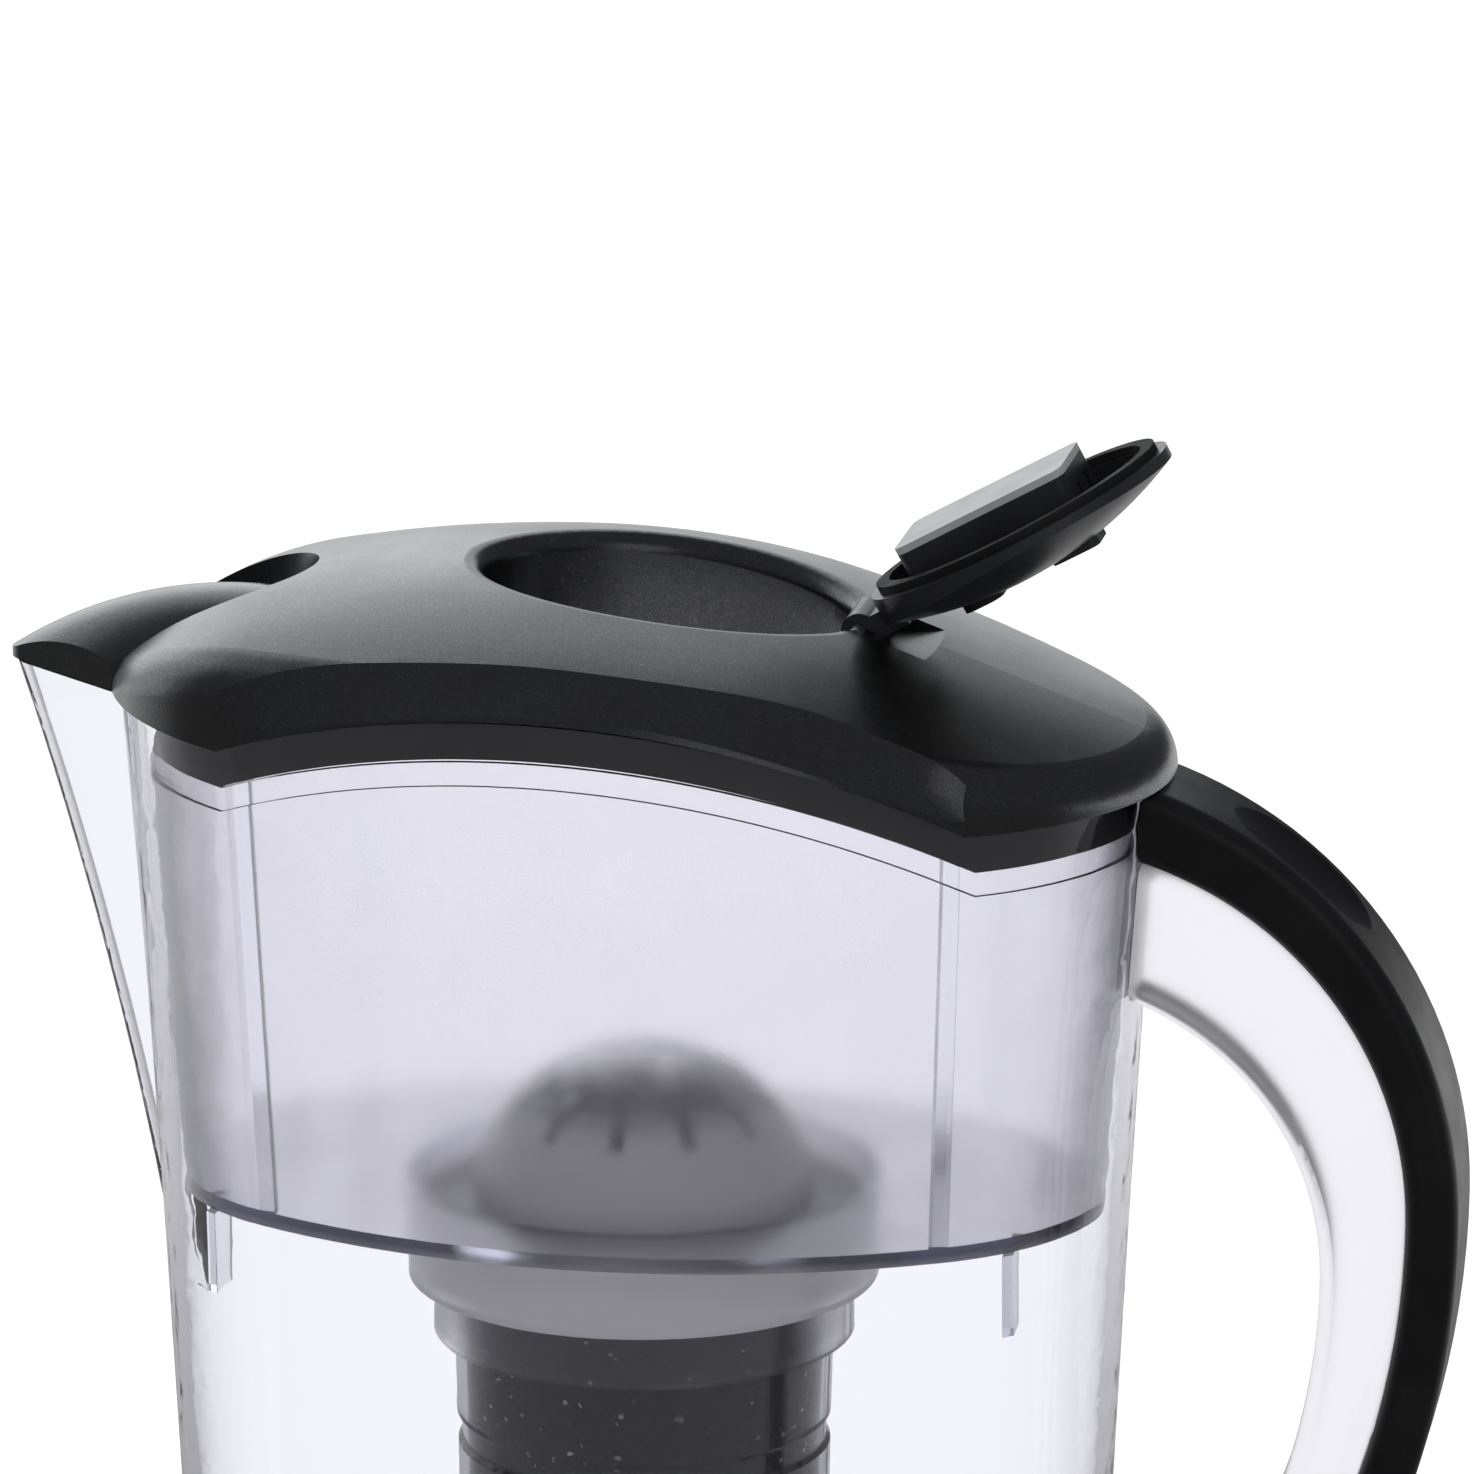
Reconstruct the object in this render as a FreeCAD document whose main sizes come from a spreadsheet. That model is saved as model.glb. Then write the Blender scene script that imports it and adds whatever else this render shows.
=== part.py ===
import FreeCAD, Part
import Sketcher
import math
import os

# Water filter pitcher: a clear jug with a pouring spout and a gripped handle, a hopper that holds
# a filter cartridge, and a domed lid with a refill flap, a change timer and a spout cover.
# Millimetres. Origin on the floor under the middle of the jug, +Z up, +X to the handle, -X to the spout.

doc = FreeCAD.newDocument("filter_pitcher")

SIZES = {
    # rim outline of the jug, a four-arc oval, and its side view, which arches over the long sides
    "rim_half_length": 88.0,
    "rim_half_width": 62.0,
    "rim_end_radius": 53.0,
    "rim_height": 209.5,
    "rim_spout_rise": 8.5,
    "rim_tip_rise": 3.5,
    "rim_headroom": 18.0,
    "rim_arch_radius": 134.0,
    # jug: how far its wall stands inside the rim outline at each height
    "jug_wall": 3.0,
    "jug_floor": 4.0,
    "jug_upper_height": 170.0,
    "jug_upper_inset": 5.0,
    "jug_lower_height": 90.0,
    "jug_lower_inset": 9.0,
    "jug_foot_inset": 13.5,
    "jug_foot_round": 7.0,
    # pouring spout: a wedge whose reach grows with height
    "spout_top_reach": 110.5,
    "spout_middle_height": 180.0,
    "spout_middle_reach": 93.5,
    "spout_foot_height": 112.0,
    "spout_foot_reach": 79.5,
    "spout_root": 66.0,
    "spout_nose_radius": 6.0,
    "spout_spread": 0.675,
    "spout_wall": 2.4,
    # ribs on the jug wall that carry the hopper
    "rib_width": 1.6,
    "rib_height": 14.0,
    "rib_inner": 23.0,
    "rib_outer": 33.0,
    "rib_place": 65.0,
    # handle: three curves, each with its outermost point, the arc above it and its foot on the wall
    "grip_reach": 136.5,
    "grip_thickness": 8.8,
    "grip_drop": 70.5,
    "grip_radius": 74.2,
    "grip_foot": 10.0,
    "grip_width": 25.0,
    "grip_round": 3.0,
    "frame_thickness": 13.8,
    "frame_drop": 71.2,
    "frame_radius": 61.4,
    "frame_foot": 24.0,
    "frame_width": 22.0,
    "frame_round": 2.5,
    "finger_drop": 81.2,
    "finger_radius": 48.3,
    "finger_foot": 38.0,
    "handle_root": 70.0,
    "thumb_length": 40.0,
    "thumb_width": 17.0,
    "thumb_depth": 2.2,
    "thumb_place": 110.0,
    # hopper
    "cartridge_clearance": 20.0,
    "hopper_foot_inset": 11.1,
    "hopper_top_inset": 4.05,
    "hopper_wall": 2.0,
    "hopper_floor": 2.2,
    "hopper_drop": 7.3,
    "lip_height": 3.8,
    "lip_inset": 0.8,
    "hopper_rib_width": 2.8,
    "socket_radius": 39.0,
    "socket_height": 15.3,
    "socket_wall": 2.2,
    "collar_radius": 34.8,
    "collar_height": 10.0,
    "collar_bore_radius": 32.4,
    # filter cartridge
    "case_radius": 31.7,
    "case_foot_radius": 29.6,
    "case_length": 98.0,
    "case_wall": 1.6,
    "case_head_radius": 36.0,
    "case_head_height": 6.0,
    "groove_drop": 28.2,
    "groove_width": 5.0,
    "groove_depth": 0.7,
    "seal_height": 1.5,
    "seal_width": 2.0,
    "screen_height": 1.2,
    "cap_height": 3.0,
    "slot_width": 2.4,
    "slot_length": 9.0,
    "slot_place": 19.0,
    "slot_count": 12,
    "dome_radius": 28.0,
    "dome_side": 6.0,
    "dome_rise": 20.0,
    "dome_wall": 1.6,
    # lid: side view of the dome, its cross curve and the flat crescents along the long sides
    "lid_wall": 2.2,
    "crown_place": -15.0,
    "crown_rise": 24.3,
    "crown_spout_radius": 240.0,
    "crown_handle_radius": 165.0,
    "crown_cross_radius": 205.0,
    "shoulder_place": -58.0,
    "shoulder_radius": 53.0,
    "shoulder_end": -92.0,
    "slope_place": 42.0,
    "lid_edge_round": 8.0,
    "facet_slope": 0.54,
    "facet_spout_slope": 1.05,
    "facet_handle_slope": 0.56,
    "facet_spout_end_slope": 20.0,
    "facet_handle_end_slope": 5.1,
    "facet_width": 17.8,
    "facet_end_relief": 0.5,
    "facet_lift": 0.9,
    # lid: refill well, spout notch and the skirt below
    "well_place": 4.5,
    "well_half_length": 30.5,
    "well_half_width": 27.0,
    "well_end_radius": 24.0,
    "well_depth": 20.8,
    "well_ring_depth": 12.3,
    "well_wall": 2.0,
    "well_lip_round": 3.0,
    "notch_half_width": 17.0,
    "notch_centre": -71.5,
    "notch_wall": 2.0,
    "skirt_outer_inset": 6.3,
    "skirt_inner_inset": 7.8,
    "skirt_depth": 6.9,
    "skirt_gap_half_width": 24.0,
    # refill flap hinge and flap, drawn in the flap's own frame with the hinge axis at its origin
    "hinge_place": 37.0,
    "hinge_drop": 9.5,
    "flap_open_angle": 28.6,
    "knuckle_radius": 3.0,
    "knuckle_half_length": 6.6,
    "neck_length": 8.0,
    "neck_drop": 2.5,
    "neck_rise": 1.5,
    "hinge_pin_radius": 1.25,
    "hinge_pin_half_length": 10.4,
    "hinge_block_half_length": 7.5,
    "hinge_block_half_width": 12.5,
    "hinge_slot_depth": 15.8,
    "heel_start": 39.6,
    "heel_end": 50.0,
    "heel_half_width": 10.5,
    "heel_depth": 12.8,
    "flap_centre": 30.5,
    "flap_half_length": 27.0,
    "flap_half_width": 25.0,
    "flap_end_radius": 22.0,
    "flap_rim_height": 3.9,
    "flap_crown_place": 27.0,
    "flap_crown_depth": 5.0,
    "flap_crown_radius": 70.0,
    "flap_cross_radius": 48.7,
    "flap_rim_width": 4.5,
    "flap_rim_depth": 2.5,
    "flap_seal_inset": 1.6,
    "flap_seal_width": 2.4,
    "flap_seal_height": 1.4,
    # filter change timer in the flap
    "timer_centre": 27.7,
    "timer_length": 30.6,
    "timer_width": 22.0,
    "timer_floor": -0.6,
    "timer_top": 9.9,
    "timer_wall": 1.5,
    "timer_round": 2.0,
    "board_height": 1.0,
    "cell_radius": 8.0,
    "cell_height": 2.0,
    "battery_cover_height": 1.2,
    "vent_width": 2.0,
    "vent_height": 3.0,
    "vent_place": 4.0,
    "button_length": 7.0,
    "button_width": 9.0,
    "button_round": 2.5,
    "button_proud": 1.0,
    "button_flange": 0.9,
    "button_flange_height": 0.8,
    "button_seat": -2.4,
    "button_place": 19.6,
    "window_place": 37.3,
    "window_length": 8.5,
    "window_width": 10.0,
    "window_height": 1.6,
    "window_sill": 1.4,
    "window_round": 1.5,
    "window_proud": 0.6,
    # spout cover and its hinge
    "cover_half_width": 16.5,
    "cover_rear_centre": -74.0,
    "cover_wall": 2.0,
    "cover_crown_place": -68.0,
    "cover_rise": 16.5,
    "cover_crown_radius": 70.0,
    "cover_cross_radius": 24.0,
    "cover_tip_reach": 106.4,
    "cover_nose_radius": 4.5,
    "cover_hinge_place": -61.5,
    "cover_hinge_rise": 11.0,
    "cover_pin_radius": 1.5,
    "cover_pin_half_length": 16.0,
    "cover_boss_radius": 3.6,
    "cover_block_half_length": 6.0,
    "cover_block_half_width": 18.5,
    "cover_block_rise": 4.0,
    # clearances
    "seat_gap": 0.3,
    "fit_gap": 0.1,
    "pin_gap": 0.05,
    "slide_gap": 0.3,
}

sheet = doc.addObject("Spreadsheet::Sheet", "Sizes")
for row, (alias, number) in enumerate(SIZES.items(), start=1):
    sheet.set("A%d" % row, alias)
    sheet.set("B%d" % row, str(number))
    sheet.setAlias("B%d" % row, alias)
doc.recompute()


class Dim:
    """A size that keeps its value and the expression that binds it to the sheet."""

    def __init__(self, value, text):
        self.value = value
        self.text = text

    def __add__(self, other):
        other = as_dim(other)
        return Dim(self.value + other.value, "(%s + %s)" % (self.text, other.text))

    def __sub__(self, other):
        other = as_dim(other)
        return Dim(self.value - other.value, "(%s - %s)" % (self.text, other.text))

    def __mul__(self, other):
        other = as_dim(other)
        return Dim(self.value * other.value, "(%s * %s)" % (self.text, other.text))

    def __truediv__(self, other):
        other = as_dim(other)
        return Dim(self.value / other.value, "(%s / %s)" % (self.text, other.text))

    def __neg__(self):
        return Dim(-self.value, "(-%s)" % self.text)

    def __radd__(self, other):
        return as_dim(other) + self

    def __rsub__(self, other):
        return as_dim(other) - self

    def __rmul__(self, other):
        return as_dim(other) * self


def as_dim(number):
    """Let plain numbers take part in sums of sizes."""
    return number if isinstance(number, Dim) else Dim(float(number), repr(float(number)))


def size(alias):
    """The sheet's value for one named size."""
    return Dim(float(sheet.get(alias)), "Sizes.%s" % alias)


def root(dim):
    """Square root of a size."""
    return Dim(math.sqrt(dim.value), "sqrt(%s)" % dim.text)


def bind(item, prop, dim):
    """Bind one property to the sheet."""
    item.setExpression(prop, as_dim(dim).text)


def new_body(label):
    body = doc.addObject("PartDesign::Body", label)
    body.Label = label
    return body


def origin_plane(body, role):
    return next(item for item in body.Origin.OriginFeatures if item.Role == role)


def new_sketch(body, name, role="XY_Plane", offset=None):
    """Sketch on one of the body's own origin planes, moved along its normal by offset."""
    sketch = body.newObject("Sketcher::SketchObject", name)
    sketch.AttachmentSupport = (origin_plane(body, role), [""])
    sketch.MapMode = "FlatFace"
    if offset is not None:
        bind(sketch, "AttachmentOffset.Base.z", offset)
    return sketch


def drive(sketch, kind, places, dim):
    """Add one driven constraint to a sketch."""
    number = sketch.addConstraint(Sketcher.Constraint(kind, *places, dim.value))
    sketch.setExpression("Constraints[%d]" % number, dim.text)


def arc_between(start, end, radius, side):
    """Arc from start to end, with its centre on the left (1) or right (-1) of the way."""
    chord = end.sub(start)
    across = FreeCAD.Vector(-chord.y, chord.x, 0).multiply(side / chord.Length)
    rise = math.sqrt(max(radius ** 2 - chord.Length ** 2 / 4, 0.0))
    centre = start.add(end).multiply(0.5).add(across.multiply(rise))
    first, last = (start, end) if side > 0 else (end, start)
    begin = math.atan2(first.y - centre.y, first.x - centre.x)
    finish = math.atan2(last.y - centre.y, last.x - centre.x)
    if finish < begin:
        finish += 2 * math.pi
    return Part.ArcOfCircle(Part.Circle(centre, FreeCAD.Vector(0, 0, 1), radius), begin, finish)


def outline(sketch, corners, bulges=None):
    """Closed outline through driven corners; bulges maps an edge to (radius, side of its centre)."""
    bulges = bulges or {}
    corners = [(as_dim(across), as_dim(up)) for across, up in corners]
    points = [FreeCAD.Vector(across.value, up.value, 0) for across, up in corners]
    edges = []
    for index, start in enumerate(points):
        end = points[(index + 1) % len(points)]
        if index in bulges:
            radius, side = bulges[index]
            number = sketch.addGeometry(arc_between(start, end, as_dim(radius).value, side))
            edges.append((number, 1, 2) if side > 0 else (number, 2, 1))
        else:
            edges.append((sketch.addGeometry(Part.LineSegment(start, end)), 1, 2))
    for index, (number, first, last) in enumerate(edges):
        follower = edges[(index + 1) % len(edges)]
        sketch.addConstraint(Sketcher.Constraint("Coincident", number, last, follower[0], follower[1]))
    for (number, first, last), (across, up) in zip(edges, corners):
        drive(sketch, "DistanceX", (-1, 1, number, first), across)
        drive(sketch, "DistanceY", (-1, 1, number, first), up)
    for index, (radius, side) in bulges.items():
        drive(sketch, "Radius", (edges[index][0],), as_dim(radius))


def oval(sketch, half_length, half_width, end_radius, inset=0.0, middle=0.0):
    """Four-arc oval with its long axis along the sketch's X, drawn inset inside its nominal size."""
    inset = as_dim(inset)
    end_centre = half_length - end_radius
    side_radius = (end_centre * end_centre + half_width * half_width - end_radius * end_radius) / (
        2 * (half_width - end_radius))
    reach = side_radius - end_radius
    across = (side_radius - inset) * end_centre / reach
    up = (end_radius - inset) * (side_radius - half_width) / reach
    corners = [(middle - across, -up), (middle + across, -up), (middle + across, up), (middle - across, up)]
    radii = [side_radius - inset, end_radius - inset] * 2
    outline(sketch, corners, {index: (radius, 1) for index, radius in enumerate(radii)})


def rim_oval(body, name, inset, height):
    """The rim outline drawn inset at one height."""
    sketch = new_sketch(body, name, "XY_Plane", height)
    oval(sketch, size("rim_half_length"), size("rim_half_width"), size("rim_end_radius"), inset)
    return sketch


def loft(body, name, sections, cut=False):
    kind = "PartDesign::SubtractiveLoft" if cut else "PartDesign::AdditiveLoft"
    feature = body.newObject(kind, name)
    feature.Profile = sections[0]
    feature.Sections = sections[1:]
    return feature


def pad(body, sketch, length, both_ways=False, reverse=False):
    feature = body.newObject("PartDesign::Pad", sketch.Name + "_pad")
    feature.Profile = sketch
    bind(feature, "Length", length)
    feature.Midplane = both_ways
    feature.Reversed = reverse
    return feature


def pocket(body, sketch, length, both_ways=False, reverse=False):
    feature = body.newObject("PartDesign::Pocket", sketch.Name + "_cut")
    feature.Profile = sketch
    bind(feature, "Length", length)
    feature.Midplane = both_ways
    feature.Reversed = reverse
    return feature


def turn(body, sketch, cut=False):
    """Revolve a sketch of the XZ plane about the body's Z axis."""
    kind = "PartDesign::Groove" if cut else "PartDesign::Revolution"
    feature = body.newObject(kind, sketch.Name + "_turned")
    feature.Profile = sketch
    feature.ReferenceAxis = (sketch, ["V_Axis"])
    feature.Angle = 360.0
    return feature


def round_edges(body, name, radius, wanted):
    """Fillet the edges of the body so far that the test picks."""
    doc.recompute()
    base = body.Tip
    edges = ["Edge%d" % (index + 1) for index, edge in enumerate(base.Shape.Edges) if wanted(edge)]
    feature = body.newObject("PartDesign::Fillet", name)
    feature.Base = (base, edges)
    bind(feature, "Radius", radius)
    return feature


def cut_away(label, base, tool):
    """One piece cut by another."""
    result = doc.addObject("Part::Cut", label)
    result.Label = label
    result.Base = base
    result.Tool = tool
    return result


def box_outline(sketch, left, right, low, high):
    outline(sketch, [(left, low), (right, low), (right, high), (left, high)])


def rounded_outline(sketch, middle, length, width, radius, centre=0.0):
    """Rectangle with round corners, its middle at (middle, centre)."""
    middle, centre, radius = as_dim(middle), as_dim(centre), as_dim(radius)
    left, right = middle - length / 2, middle + length / 2
    low, high = centre - width / 2, centre + width / 2
    corners = [
        (left + radius, low), (right - radius, low), (right, low + radius), (right, high - radius),
        (right - radius, high), (left + radius, high), (left, high - radius), (left, low + radius),
    ]
    outline(sketch, corners, {edge: (radius, 1) for edge in (1, 3, 5, 7)})


def disc(sketch, radius, across=0.0, up=0.0):
    across, up = as_dim(across), as_dim(up)
    place = FreeCAD.Vector(across.value, up.value, 0)
    number = sketch.addGeometry(Part.Circle(place, FreeCAD.Vector(0, 0, 1), radius.value))
    drive(sketch, "DistanceX", (-1, 1, number, 3), across)
    drive(sketch, "DistanceY", (-1, 1, number, 3), up)
    drive(sketch, "Radius", (number,), radius)


def rim_spout():
    """Height of the rim where its side meets the spout end."""
    return size("rim_height") + size("rim_spout_rise")


def jug_top():
    """Height to which the wall forms run before the rim is trimmed."""
    return rim_spout() + size("rim_headroom")


def crown_level():
    return rim_spout() + size("crown_rise")


def hinge_level():
    return crown_level() - size("hinge_drop")


def cover_hinge_level():
    return rim_spout() + size("cover_hinge_rise")


def hopper_foot():
    """Height of the hopper's floor, set by the cartridge that hangs from it."""
    base = size("jug_floor") + size("cartridge_clearance") + size("cap_height")
    seat = base + size("case_length") - size("seal_height")
    return seat + size("socket_height") - size("socket_wall")


def rim_arcs():
    """Side radius of the rim outline and the middle of its end arcs."""
    radius, width = size("rim_end_radius"), size("rim_half_width")
    middle = size("rim_half_length") - radius
    side = (middle * middle + width * width - radius * radius) / (2 * (width - radius))
    return side, middle


def rim_corner(inset=0.0):
    """Where the side and end arcs of the rim outline meet, drawn inset."""
    side, middle = rim_arcs()
    radius = size("rim_end_radius")
    reach = side - radius
    return (side - inset) * middle / reach, (radius - inset) * (side - size("rim_half_width")) / reach


def rim_profile(body, name, lift, above):
    """Side view of the rim, lifted by lift, closed above it or below it."""
    sketch = new_sketch(body, name, "XZ_Plane")
    corner = rim_corner()[0]
    span = size("rim_half_length") + 60
    lift = as_dim(lift)
    limit = crown_level() + 100 if above else as_dim(-50.0)
    handle_end = size("rim_height") + lift
    spout_end = rim_spout() + lift
    tip = spout_end + size("rim_tip_rise") * (span - corner) / (size("spout_top_reach") - corner)
    corners = [(-span, tip), (-corner, spout_end), (corner, handle_end), (span, handle_end),
               (span, limit), (-span, limit)]
    outline(sketch, corners, {1: (size("rim_arch_radius"), -1)})
    return sketch


WIDE = as_dim(400.0)

# Jug


def jug_loft(body, word, inset, foot_height, cut=False):
    """Tapered wall of the jug, drawn inset inside its outside."""
    places = [("foot", foot_height), ("lower", size("jug_lower_height")), ("upper", size("jug_upper_height"))]
    sections = [rim_oval(body, "%s_%s" % (word, place), size("jug_%s_inset" % place) + inset, height)
                for place, height in places]
    sections.append(rim_oval(body, word + "_top", as_dim(0.0) + inset, jug_top()))
    return loft(body, word, sections, cut)


def spout_wedge(body, name, height, reach, shrink):
    """Plan of the spout at one height: a round nose and two straight sides."""
    sketch = new_sketch(body, name, "XY_Plane", height)
    spread = size("spout_spread")
    hypotenuse = root(1 + spread * spread)
    radius = size("spout_nose_radius") - shrink
    nose = reach - size("spout_nose_radius") + radius * spread / hypotenuse
    nose_side = radius / hypotenuse
    root_side = nose_side + spread * (nose - size("spout_root"))
    corners = [(-size("spout_root"), -root_side), (-size("spout_root"), root_side),
               (-nose, nose_side), (-nose, -nose_side)]
    outline(sketch, corners, {2: (radius, 1)})
    return sketch


def spout_loft(body, word, shrink, cut=False):
    places = [("foot", size("spout_foot_height"), size("spout_foot_reach")),
              ("middle", size("spout_middle_height"), size("spout_middle_reach")),
              ("top", jug_top(), size("spout_top_reach"))]
    sections = [spout_wedge(body, "%s_%s" % (word, place), height, reach, shrink)
                for place, height, reach in places]
    return loft(body, word, sections, cut)


def make_jug():
    body = new_body("jug_body")
    round_foot = size("jug_foot_round")
    jug_loft(body, "jug_outside", as_dim(0.0), round_foot)
    sections = []
    for word, share in (("rest", 0.0), ("round", 1 - math.sqrt(0.5)), ("wall", 1.0)):
        curve = 1 - math.sqrt(1 - (1 - share) ** 2)
        inset = size("jug_foot_inset") + round_foot * curve
        sections.append(rim_oval(body, "jug_base_" + word, inset, round_foot * share))
    loft(body, "jug_base", sections)
    spout_loft(body, "spout_outside", as_dim(0.0))
    jug_loft(body, "jug_inside", size("jug_wall"), size("jug_floor"), cut=True)
    spout_loft(body, "spout_inside", size("spout_wall"), cut=True)
    ribs = new_sketch(body, "hopper_ribs", "XY_Plane", hopper_foot())
    for end in (-1, 1):
        for side in (-1, 1):
            inner, outer = size("rib_inner") * side, size("rib_outer") * side
            middle = size("rib_place") * end
            low, high = (inner, outer) if side > 0 else (outer, inner)
            box_outline(ribs, middle - size("rib_width") / 2, middle + size("rib_width") / 2, low, high)
    pad(body, ribs, size("rib_height"), reverse=True)
    pocket(body, rim_profile(body, "jug_rim", as_dim(0.0), True), WIDE, both_ways=True)
    return body


# Handle


def handle_reach(word):
    """Outermost point of one curve of the handle."""
    reach = size("grip_reach")
    if word != "grip":
        reach = reach - size("grip_thickness")
    if word == "finger":
        reach = reach - size("frame_thickness")
    return reach


def bow(word, growth):
    """One curve of the handle, grown outwards: outermost point, arcs above and below it and its two ends."""
    reach, middle = handle_reach(word) + growth, size("rim_height") - size(word + "_drop")
    upper, foot = size(word + "_radius") + growth, size(word + "_foot") - growth
    depth = reach - size("handle_root")
    top = middle + root(upper * upper - (upper - depth) * (upper - depth))
    drop = middle - foot
    lower = (drop * drop + depth * depth) / (2 * depth)
    return {"out": (reach, middle), "top": (size("handle_root"), top), "foot": (size("handle_root"), foot),
            "upper": upper, "lower": lower}


def handle_blank(label, outer, inner, gap, width, radius):
    """C-shaped bar between two curves of the handle, with a gap inside its inner curve."""
    body = new_body(label)
    sketch = new_sketch(body, label + "_side", "XZ_Plane")
    far, near = bow(outer, as_dim(0.0)), bow(inner, gap)
    corners = [far["top"], far["out"], far["foot"], near["foot"], near["out"], near["top"]]
    bulges = {0: (far["upper"], -1), 1: (far["lower"], -1), 3: (near["lower"], 1), 4: (near["upper"], 1)}
    outline(sketch, corners, bulges)
    pad(body, sketch, width, both_ways=True)
    half = width.value / 2
    round_edges(body, label + "_fillet", radius, lambda edge: edge.BoundBox.YLength < 0.1
                and abs(abs(edge.BoundBox.YMin) - half) < 0.1 and edge.BoundBox.XLength > 1)
    return body


def make_handle():
    wall = new_body("jug_form")
    jug_loft(wall, "jug_form_wall", -size("fit_gap"), size("jug_foot_round"))
    frame = handle_blank("handle_frame_blank", "frame", "finger", as_dim(0.0), size("frame_width"),
                         size("frame_round"))
    grip = handle_blank("handle_grip_blank", "grip", "frame", size("fit_gap"), size("grip_width"),
                        size("grip_round"))
    thumb = grip.newObject("PartDesign::SubtractiveEllipsoid", "thumb_dish")
    bind(thumb, "Radius1", size("thumb_depth"))
    bind(thumb, "Radius2", size("thumb_length") / 2)
    bind(thumb, "Radius3", size("thumb_width") / 2)
    centre_x = size("grip_reach") - size("grip_radius")
    across = size("thumb_place") - centre_x
    rise = root(size("grip_radius") * size("grip_radius") - across * across)
    lean = math.degrees(math.atan2(across.value, rise.value))
    thumb.AttachmentOffset = FreeCAD.Placement(
        FreeCAD.Vector(), FreeCAD.Rotation(FreeCAD.Vector(0, 1, 0), lean))
    thumb.AttachmentSupport = (origin_plane(grip, "XY_Plane"), [""])
    thumb.MapMode = "FlatFace"
    bind(thumb, "AttachmentOffset.Base.x", size("thumb_place"))
    bind(thumb, "AttachmentOffset.Base.z", size("rim_height") - size("grip_drop") + rise)
    return cut_away("handle_frame", frame, wall), cut_away("handle_grip", grip, wall)


# Hopper


def make_hopper():
    body = new_body("hopper_blank")
    foot, floor, wall = hopper_foot(), size("hopper_floor"), size("hopper_wall")
    top = jug_top()
    outside = [rim_oval(body, "hopper_foot", size("hopper_foot_inset"), foot),
               rim_oval(body, "hopper_top", size("hopper_top_inset"), top)]
    loft(body, "hopper_outside", outside)
    inside = [rim_oval(body, "hopper_inner_foot", size("hopper_foot_inset") + wall, foot + floor),
              rim_oval(body, "hopper_inner_top", size("hopper_top_inset") + wall, top)]
    loft(body, "hopper_inside", inside, cut=True)
    low_across, low_up = rim_corner(size("hopper_foot_inset") + wall)
    high_across, high_up = rim_corner(size("hopper_top_inset") + wall)
    half = size("hopper_rib_width") / 2
    for number, (end, side) in enumerate([(-1, -1), (1, -1), (1, 1), (-1, 1)]):
        ends = []
        for word, across, up, height in (("low", low_across, low_up, foot + floor / 2),
                                         ("high", high_across, high_up, top)):
            sketch = new_sketch(body, "hopper_rib_%s_%d" % (word, number), "XY_Plane", height)
            middle, centre = across * end, up * side
            box_outline(sketch, middle - half, middle + half, centre - half, centre + half)
            ends.append(sketch)
        loft(body, "hopper_rib_%d" % number, ends)
    opening = new_sketch(body, "socket_opening", "XY_Plane", foot)
    disc(opening, size("socket_radius") - size("socket_wall"))
    pocket(body, opening, floor * 2, reverse=True)
    socket = new_sketch(body, "socket_section", "XZ_Plane")
    step = foot - size("socket_height")
    inner = size("socket_radius") - size("socket_wall")
    collar_foot = step - size("collar_height")
    outline(socket, [(inner, foot + floor), (inner, step + size("socket_wall")),
                     (size("collar_bore_radius"), step + size("socket_wall")),
                     (size("collar_bore_radius"), collar_foot), (size("collar_radius"), collar_foot),
                     (size("collar_radius"), step), (size("socket_radius"), step),
                     (size("socket_radius"), foot + floor)])
    turn(body, socket)
    pocket(body, rim_profile(body, "hopper_rim", -size("hopper_drop"), True), WIDE, both_ways=True)
    trim = new_body("hopper_lip_trim")
    step = -size("hopper_drop") - size("lip_height")
    pad(trim, rim_profile(trim, "lip_step", step, True), WIDE, both_ways=True)
    lip = [rim_oval(trim, "lip_foot", size("hopper_foot_inset") + size("lip_inset"), foot),
           rim_oval(trim, "lip_top", size("hopper_top_inset") + size("lip_inset"), top)]
    loft(trim, "lip_side", lip, cut=True)
    return cut_away("hopper", body, trim)


# Filter cartridge


def cartridge_levels():
    """Heights at which the cartridge's pieces meet, from its seat in the hopper upwards and downwards."""
    seat = hopper_foot() - size("socket_height") + size("socket_wall")
    neck = seat + size("seal_height")
    head = neck + size("case_head_height")
    return {"seat": seat, "neck": neck, "head": head, "foot": neck - size("case_length")}


def turned(label, corners, bulges=None):
    """A round piece from its half section."""
    body = new_body(label)
    section = new_sketch(body, label + "_section", "XZ_Plane")
    outline(section, corners, bulges)
    turn(body, section)
    return body


def ring(label, inner, outer, low, high):
    return turned(label, [(inner, low), (outer, low), (outer, high), (inner, high)])


def slotted(body, word, height, depth):
    """Cut the ring of flow slots, from a height downwards."""
    sketch = new_sketch(body, word, "XY_Plane", height)
    place, length = size("slot_place"), size("slot_length")
    half = size("slot_width") / 2
    box_outline(sketch, place - length / 2, place + length / 2, -half, half)
    first = pocket(body, sketch, depth)
    pattern = body.newObject("PartDesign::PolarPattern", word + "_ring")
    pattern.Originals = [first]
    pattern.Axis = (sketch, ["N_Axis"])
    pattern.Angle = 360.0
    bind(pattern, "Occurrences", size("slot_count"))
    body.Tip = pattern


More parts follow.
